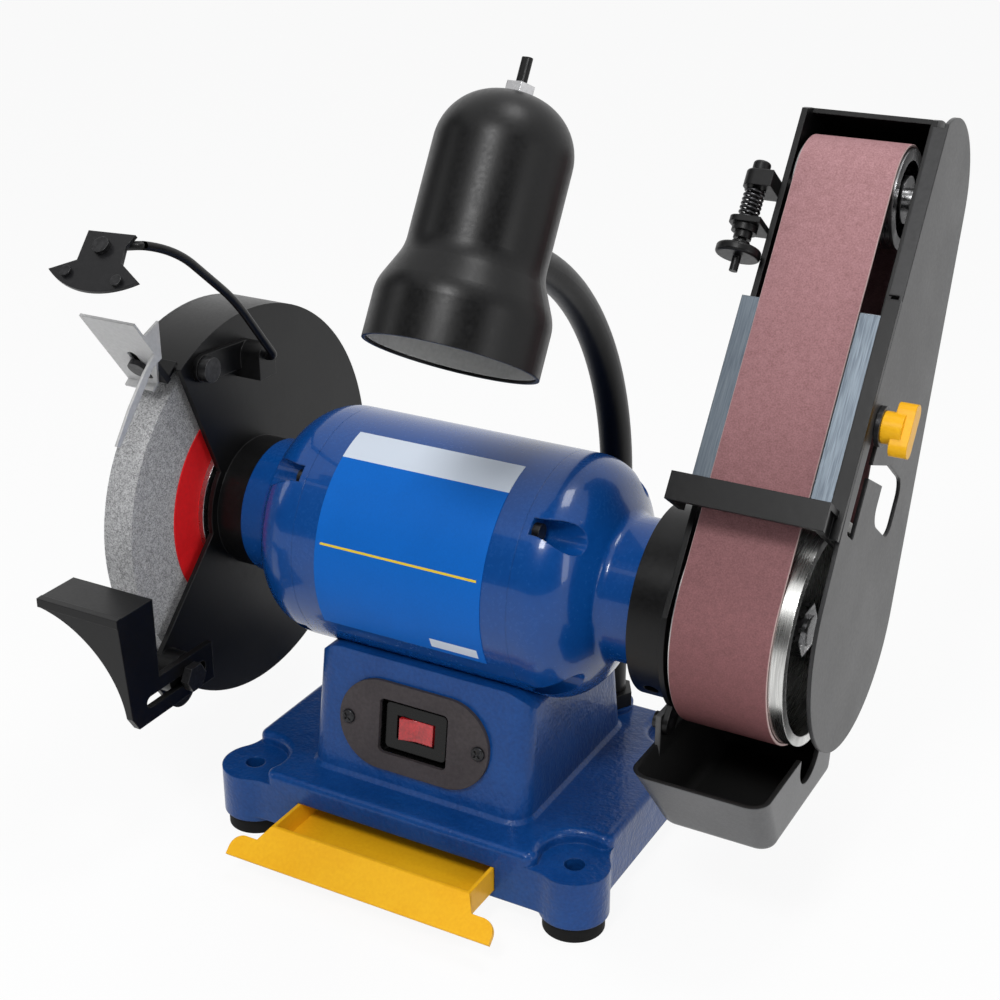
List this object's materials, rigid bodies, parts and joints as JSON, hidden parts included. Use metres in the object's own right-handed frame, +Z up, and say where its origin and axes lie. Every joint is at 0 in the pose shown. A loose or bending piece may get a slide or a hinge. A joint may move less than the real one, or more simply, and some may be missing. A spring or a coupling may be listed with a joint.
{
  "type": "bench grinder",
  "caption": "Bench grinder with a guarded abrasive wheel on one end of its motor, a tilting belt-sander arm on the other, a pull-out coolant tray and a swivel work lamp.",
  "frame": {"origin": "centre of the four bench bolts, at bench level", "axes": "+X along the motor shaft towards the belt sander, +Y from the switch towards the back, +Z up"},
  "size_m": [0.4225, 0.2862, 0.4434],
  "materials": {
    "base_blue": "slightly textured gloss enamel",
    "motor_blue": "gloss enamel",
    "foot_rubber": "matte",
    "switch_brown": "matte",
    "black_plastic": "satin",
    "bright_steel": "zinc plated",
    "black_screws": "blackened",
    "rocker_red": "translucent, gloss",
    "signal_yellow": "satin",
    "laminated_steel": "matte",
    "copper_wire": "enamelled",
    "bearing_steel": "ground",
    "capacitor_can": "satin",
    "plate_print": "printed, semi-gloss",
    "blotter_red": "matte",
    "abrasive_grey": "granular",
    "drive_silver": "machined",
    "idler_steel": "darkened",
    "satin_black": "satin",
    "zinc_plate": "zinc plated",
    "bracket_grey": "satin",
    "platen_steel": "brushed",
    "belt_mauve": "granular",
    "cover_grey": "satin",
    "spring_steel": "darkened",
    "scoop_black": "satin",
    "liner_white": "satin",
    "holder_ceramic": "glazed",
    "bulb_glass": "frosted"
  },
  "bodies": {
    "stand": {"cast_base": "base_blue", "rubber_feet": "foot_rubber", "switch_plate": "switch_brown", "switch_plate_screws": "black_screws", "switch_housing": "black_plastic", "motor_barrel": "motor_blue", "left_end_bell": "motor_blue", "right_end_bell": "motor_blue", "motor_through_bolts": "black_screws", "stator_core": "laminated_steel", "stator_windings": "copper_wire", "bearings": "bearing_steel", "start_capacitor": "capacitor_can", "nameplate": "plate_print", "cord_gland": "black_plastic", "wheel_guard": "satin_black", "guard_cover": "satin_black", "guard_screws": "black_screws", "adjusting_bolts": "black_screws", "shield_clamp": "satin_black", "lamp_neck_nut": "satin_black"},
    "spindle": {"motor_shaft": "bearing_steel", "rotor_core": "laminated_steel", "wheel_flanges": "bright_steel", "wheel_blotters": "blotter_red", "grinding_wheel": "abrasive_grey", "drive_wheel": "drive_silver", "spindle_nuts": "bright_steel"},
    "rocker": {"rocker_switch": "rocker_red"},
    "tray": {"coolant_tray": "signal_yellow"},
    "arrestor": {"spark_arrestor": "zinc_plate"},
    "rest": {"tool_rest": "satin_black"},
    "shield": {"shield_rod": "satin_black", "shield_bracket": "bracket_grey", "shield_bolts": "black_screws"},
    "arm": {"arm_collar": "satin_black", "arm_screws": "black_screws", "arm_frame": "satin_black", "platen": "platen_steel", "abrasive_belt": "belt_mauve", "idler_axle": "bearing_steel", "side_cover": "cover_grey", "cover_spacers": "bright_steel", "tracking_bracket": "satin_black", "tracking_lever": "satin_black", "tracking_spring": "spring_steel", "dust_scoop": "scoop_black"},
    "idler": {"idler_pulley": "idler_steel"},
    "ledge": {"work_rest": "satin_black", "lock_washer": "black_screws"},
    "ledge_knob": {"lock_knob": "signal_yellow"},
    "tracker": {"tracking_knob": "satin_black"},
    "neck": {"lamp_neck": "satin_black"},
    "shade": {"lamp_shade": "satin_black", "lamp_hinge_pin": "bright_steel", "shade_liner": "liner_white", "lamp_holder": "holder_ceramic", "lamp_bulb": "bulb_glass", "lamp_switch_nut": "bright_steel"},
    "key": {"lamp_switch_key": "satin_black"}
  },
  "joints": [
    {"name": "spindle_spin", "type": "hinge", "parent": "stand", "child": "spindle", "pos_m": [0, -0.0025, 0.1687], "axis": [1, 0, 0], "continuous": true},
    {"name": "rocker_tilt", "type": "hinge", "parent": "stand", "child": "rocker", "pos_m": [-0.001, -0.05465, 0.08046], "axis": [0, 0.1345, 0.9909], "range_deg": [-14, 0]},
    {"name": "tray_slide", "type": "slide", "parent": "stand", "child": "tray", "axis": [0, -1, 0], "range_m": [-0.023, 0.06]},
    {"name": "arrestor_slide", "type": "slide", "parent": "stand", "child": "arrestor", "axis": [0, -0.5948, 0.8039], "range_m": [-0.0025, 0.006]},
    {"name": "rest_slide", "type": "slide", "parent": "stand", "child": "rest", "axis": [0, 1, 0], "range_m": [-0.009, 0.011]},
    {"name": "shield_tilt", "type": "hinge", "parent": "stand", "child": "shield", "pos_m": [-0.125, -0.0065, 0.2607], "axis": [1, 0, 0], "range_deg": [-45, 8]},
    {"name": "arm_tilt", "type": "hinge", "parent": "stand", "child": "arm", "pos_m": [0.1201, -0.0025, 0.1687], "axis": [1, 0, 0], "range_deg": [-54, 35]},
    {"name": "idler_spin", "type": "hinge", "parent": "arm", "child": "idler", "pos_m": [0.172, 0.09667, 0.36546], "axis": [1, 0, 0], "continuous": true},
    {"name": "ledge_slide", "type": "slide", "parent": "arm", "child": "ledge", "axis": [0, 0.575, 0.8181], "range_m": [-0.045, 0]},
    {"name": "ledge_knob_turn", "type": "hinge", "parent": "ledge", "child": "ledge_knob", "pos_m": [0.2205, 0.0154, 0.2759], "axis": [1, 0, 0], "range_deg": [-180, 180]},
    {"name": "tracking_turn", "type": "hinge", "parent": "arm", "child": "tracker", "pos_m": [0.1302, 0.04621, 0.34409], "axis": [0, 0.575, 0.8181], "range_deg": [-360, 360]},
    {"name": "neck_swing", "type": "hinge", "parent": "stand", "child": "neck", "pos_m": [0.053, 0.076, 0.048], "axis": [0, 0, 1], "range_deg": [-35, 8]},
    {"name": "shade_tilt", "type": "hinge", "parent": "neck", "child": "shade", "pos_m": [0.053, -0.04201, 0.35027], "axis": [1, 0, 0], "range_deg": [-25, 35]},
    {"name": "key_turn", "type": "hinge", "parent": "shade", "child": "key", "pos_m": [0.053, -0.04374, 0.42673], "axis": [0, 0.5075, 0.8616], "range_deg": [0, 90]}
  ],
  "couplings": [
    {"joint": "idler_spin", "follows": "spindle_spin", "ratio": 2.2598}
  ]
}
